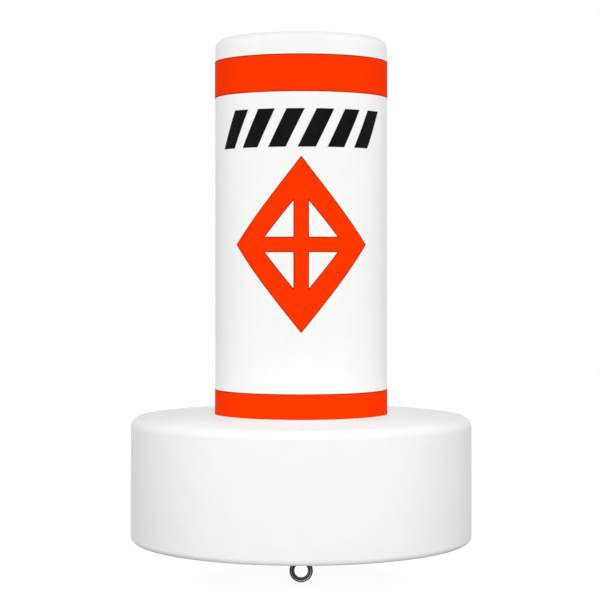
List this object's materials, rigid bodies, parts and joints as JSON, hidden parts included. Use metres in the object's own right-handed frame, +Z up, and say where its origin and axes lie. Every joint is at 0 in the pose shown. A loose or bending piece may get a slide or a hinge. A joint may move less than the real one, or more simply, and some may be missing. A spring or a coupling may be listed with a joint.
{
  "type": "float collar buoy",
  "caption": "White marker buoy: an upright cylindrical column with orange bands and a diamond, clamped in a wide round float collar, with a steel mooring eye below.",
  "frame": {"origin": "centre of the mooring eye, on the buoy's axis", "axes": "+Z up the buoy's axis towards the column's top, -Y the way the front marking faces, +X to the right of that marking"},
  "size_m": [0.7044, 0.7044, 1.1226],
  "materials": {
    "white_polyethylene": "satin",
    "grey_polyethylene": "satin",
    "orange_tape": "gloss",
    "black_vinyl": "satin",
    "rigid_foam": "matte",
    "concrete": "matte",
    "sealing_rubber": "matte",
    "galvanised_steel": "satin",
    "forged_steel": "satin"
  },
  "bodies": {
    "root": {"collar_shell": "white_polyethylene", "column_shell": "white_polyethylene", "collar_foam": "rigid_foam", "column_foam": "rigid_foam", "column_ballast": "concrete", "collar_fill_plug": "grey_polyethylene", "collar_vent_plug": "grey_polyethylene", "mooring_eye": "forged_steel", "lock_nut": "galvanised_steel", "clamp_nut": "galvanised_steel", "anchor_nut": "galvanised_steel", "eye_washer": "galvanised_steel", "anchor_plate": "galvanised_steel", "base_plate": "galvanised_steel", "base_gasket": "sealing_rubber", "upper_band": "orange_tape", "lower_band": "orange_tape", "diamond_front": "orange_tape", "diamond_rear": "orange_tape", "plate_bolt_1": "galvanised_steel", "plate_washer_1": "galvanised_steel", "threaded_insert_1": "galvanised_steel", "plate_bolt_2": "galvanised_steel", "plate_washer_2": "galvanised_steel", "threaded_insert_2": "galvanised_steel", "plate_bolt_3": "galvanised_steel", "plate_washer_3": "galvanised_steel", "threaded_insert_3": "galvanised_steel", "plate_bolt_4": "galvanised_steel", "plate_washer_4": "galvanised_steel", "threaded_insert_4": "galvanised_steel", "mark_bar_front_1": "black_vinyl", "mark_bar_front_2": "black_vinyl", "mark_bar_front_3": "black_vinyl", "mark_bar_front_4": "black_vinyl", "mark_bar_front_5": "black_vinyl", "mark_bar_front_6": "black_vinyl", "mark_bar_rear_1": "black_vinyl", "mark_bar_rear_2": "black_vinyl", "mark_bar_rear_3": "black_vinyl", "mark_bar_rear_4": "black_vinyl", "mark_bar_rear_5": "black_vinyl", "mark_bar_rear_6": "black_vinyl"}
  },
  "joints": []
}
